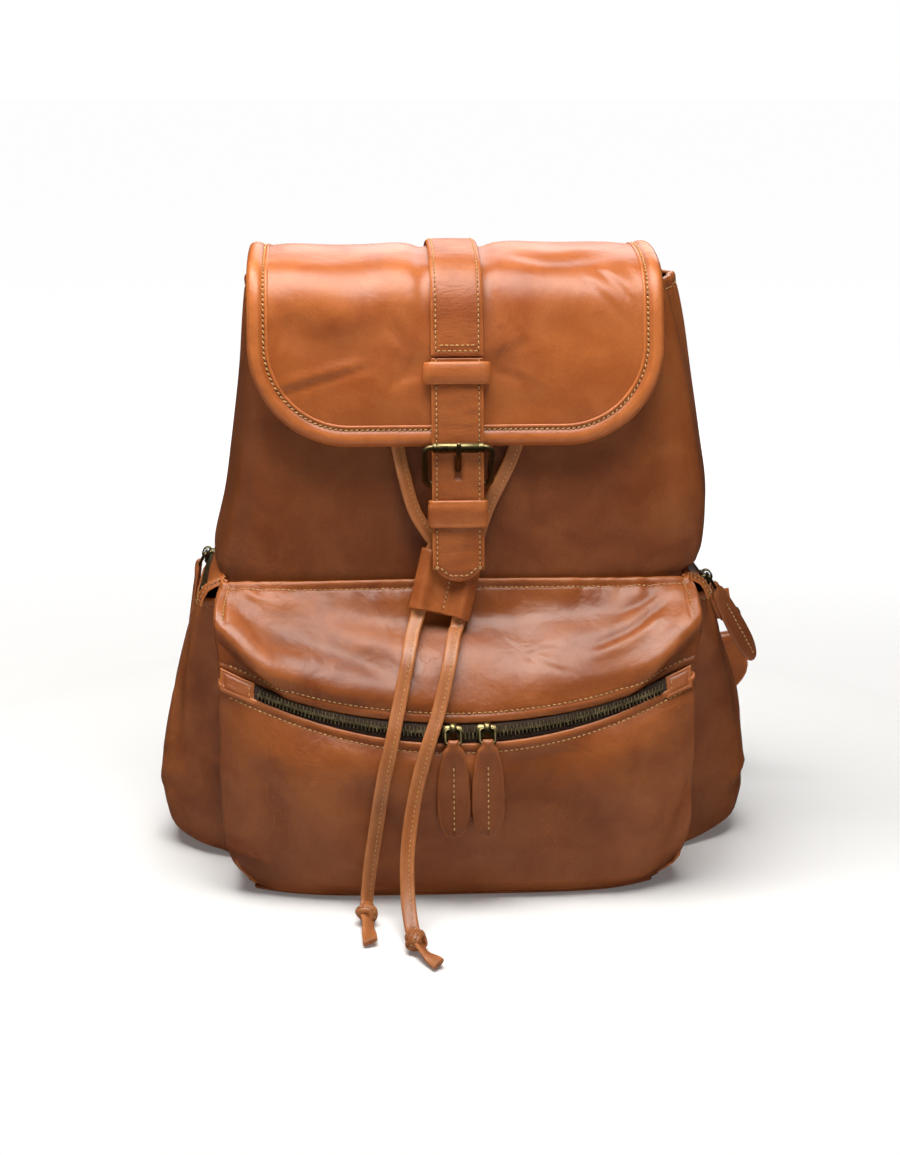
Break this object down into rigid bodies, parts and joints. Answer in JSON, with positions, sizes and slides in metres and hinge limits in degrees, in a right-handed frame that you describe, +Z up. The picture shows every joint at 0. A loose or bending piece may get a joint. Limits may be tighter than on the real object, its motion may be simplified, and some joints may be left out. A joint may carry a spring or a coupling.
{
  "type": "leather backpack",
  "caption": "Leather drawcord backpack with a buckled front flap, zipped front pocket and zipped side pockets.",
  "frame": {"origin": "centre of the base panel's underside, where the bag stands on a surface", "axes": "+Z up; -Y is the bag's front, with the flap strap and the front pocket; +X is to the right when the front is seen"},
  "size_m": [0.398, 0.3276, 0.387],
  "materials": {
    "body_leather": "smooth full-grain cowhide, cognac brown, semi-gloss",
    "pocket_leather": "smooth full-grain cowhide, cognac brown, semi-gloss",
    "flap_leather": "smooth full-grain cowhide, burnished cognac brown",
    "strap_leather": "bridle leather with creased edges",
    "cord_leather": "folded and stitched narrow leather strap",
    "pull_leather": "stitched leather",
    "antique_brass": "antique brass plate",
    "zip_metal": "antique brass zip teeth on brown tape",
    "board": "stiff fibre board"
  },
  "bodies": {
    "bag": {"front_panel": "body_leather", "back_panel": "body_leather", "side_panel_left": "body_leather", "side_panel_right": "body_leather", "base_panel": "body_leather", "strap_yoke": "body_leather", "front_pocket_upper": "pocket_leather", "front_pocket_lower": "pocket_leather", "front_pocket_side_left": "pocket_leather", "front_pocket_side_right": "pocket_leather", "front_pocket_floor": "pocket_leather", "side_pocket_left": "pocket_leather", "side_pocket_right": "pocket_leather", "front_zip_end_left": "pocket_leather", "front_zip_end_right": "pocket_leather", "shoulder_strap_left": "strap_leather", "shoulder_strap_right": "strap_leather", "lower_strap_left": "strap_leather", "lower_strap_right": "strap_leather", "drawcord": "cord_leather", "cord_left": "cord_leather", "cord_right": "cord_leather", "knot_left": "cord_leather", "knot_right": "cord_leather", "mouth_eyelet_left": "antique_brass", "mouth_eyelet_right": "antique_brass", "snap_plate": "antique_brass", "strap_adjuster_left": "antique_brass", "strap_adjuster_right": "antique_brass", "front_zip": "zip_metal", "side_zip_left": "zip_metal", "side_zip_right": "zip_metal", "base_board": "board"},
    "flap": {"flap_panel": "flap_leather", "flap_binding": "flap_leather", "flap_strap": "strap_leather", "flap_keeper": "strap_leather", "closure_strap": "strap_leather", "buckle_frame": "antique_brass", "buckle_tab": "strap_leather", "snap_magnet": "antique_brass"},
    "roller": {"buckle_roller": "antique_brass"},
    "prong": {"buckle_prong": "antique_brass"},
    "keeper": {"tab_keeper": "strap_leather"},
    "toggle": {"cord_toggle": "cord_leather"},
    "haul_loop": {"haul_loop": "strap_leather"},
    "front_left_slider": {"front_slider_left": "antique_brass"},
    "front_left_pull": {"front_left_ring": "antique_brass", "front_left_pull": "pull_leather"},
    "side_left_slider": {"side_slider_left": "antique_brass"},
    "side_left_pull": {"side_left_ring": "antique_brass", "side_left_pull": "pull_leather"},
    "front_right_slider": {"front_slider_right": "antique_brass"},
    "front_right_pull": {"front_right_ring": "antique_brass", "front_right_pull": "pull_leather"},
    "side_right_slider": {"side_slider_right": "antique_brass"},
    "side_right_pull": {"side_right_ring": "antique_brass", "side_right_pull": "pull_leather"}
  },
  "joints": [
    {"name": "flap_lift", "type": "hinge", "parent": "bag", "child": "flap", "pos_m": [0, 0.0565, 0.34], "axis": [-1, 0, 0], "range_deg": [0, 100]},
    {"name": "roller_turn", "type": "hinge", "parent": "flap", "child": "roller", "pos_m": [0, -0.0797, 0.27], "axis": [1, 0, 0], "continuous": true},
    {"name": "prong_lift", "type": "hinge", "parent": "flap", "child": "prong", "pos_m": [0, -0.0708, 0.246], "axis": [1, 0, 0], "range_deg": [0, 8]},
    {"name": "keeper_slide", "type": "slide", "parent": "flap", "child": "keeper", "axis": [0, -0.1097, -0.994], "range_m": [0, 0.01]},
    {"name": "toggle_slide", "type": "slide", "parent": "bag", "child": "toggle", "axis": [0.2334, 0.3326, 0.9137], "range_m": [0, 0.015], "deforming": ["cord_left", "cord_right"]},
    {"name": "haul_loop_swing", "type": "hinge", "parent": "bag", "child": "haul_loop", "pos_m": [0, 0.072, 0.318], "axis": [1, 0, 0], "range_deg": [0, 75]},
    {"name": "front_left_zip", "type": "hinge", "parent": "bag", "child": "front_left_slider", "pos_m": [0, 0.024, 0.375], "axis": [0, -0.8707, 0.4918], "range_deg": [-21.34, 0], "deforming": ["cord_left", "cord_right"]},
    {"name": "front_left_pull_swing", "type": "hinge", "parent": "front_left_slider", "child": "front_left_pull", "pos_m": [-0.006, -0.13206, 0.10971], "axis": [-1, 0, 0], "range_deg": [0, 120]},
    {"name": "side_left_zip", "type": "slide", "parent": "bag", "child": "side_left_slider", "axis": [0, 1, 0], "range_m": [-0.084, 0], "deforming": ["side_left_pull"]},
    {"name": "side_left_pull_swing", "type": "hinge", "parent": "side_left_slider", "child": "side_left_pull", "pos_m": [-0.16112, 0.042, 0.1797], "axis": [0, 1, 0], "range_deg": [0, 110]},
    {"name": "front_right_zip", "type": "hinge", "parent": "bag", "child": "front_right_slider", "pos_m": [0, 0.024, 0.375], "axis": [0, -0.8707, 0.4918], "range_deg": [0, 19.76], "deforming": ["cord_left", "cord_right"]},
    {"name": "front_right_pull_swing", "type": "hinge", "parent": "front_right_slider", "child": "front_right_pull", "pos_m": [0.0145, -0.13192, 0.10995], "axis": [-1, 0, 0], "range_deg": [0, 120]},
    {"name": "side_right_zip", "type": "slide", "parent": "bag", "child": "side_right_slider", "axis": [0, 1, 0], "range_m": [0, 0.08]},
    {"name": "side_right_pull_swing", "type": "hinge", "parent": "side_right_slider", "child": "side_right_pull", "pos_m": [0.16112, -0.038, 0.1797], "axis": [0, -1, 0], "range_deg": [0, 110]}
  ]
}
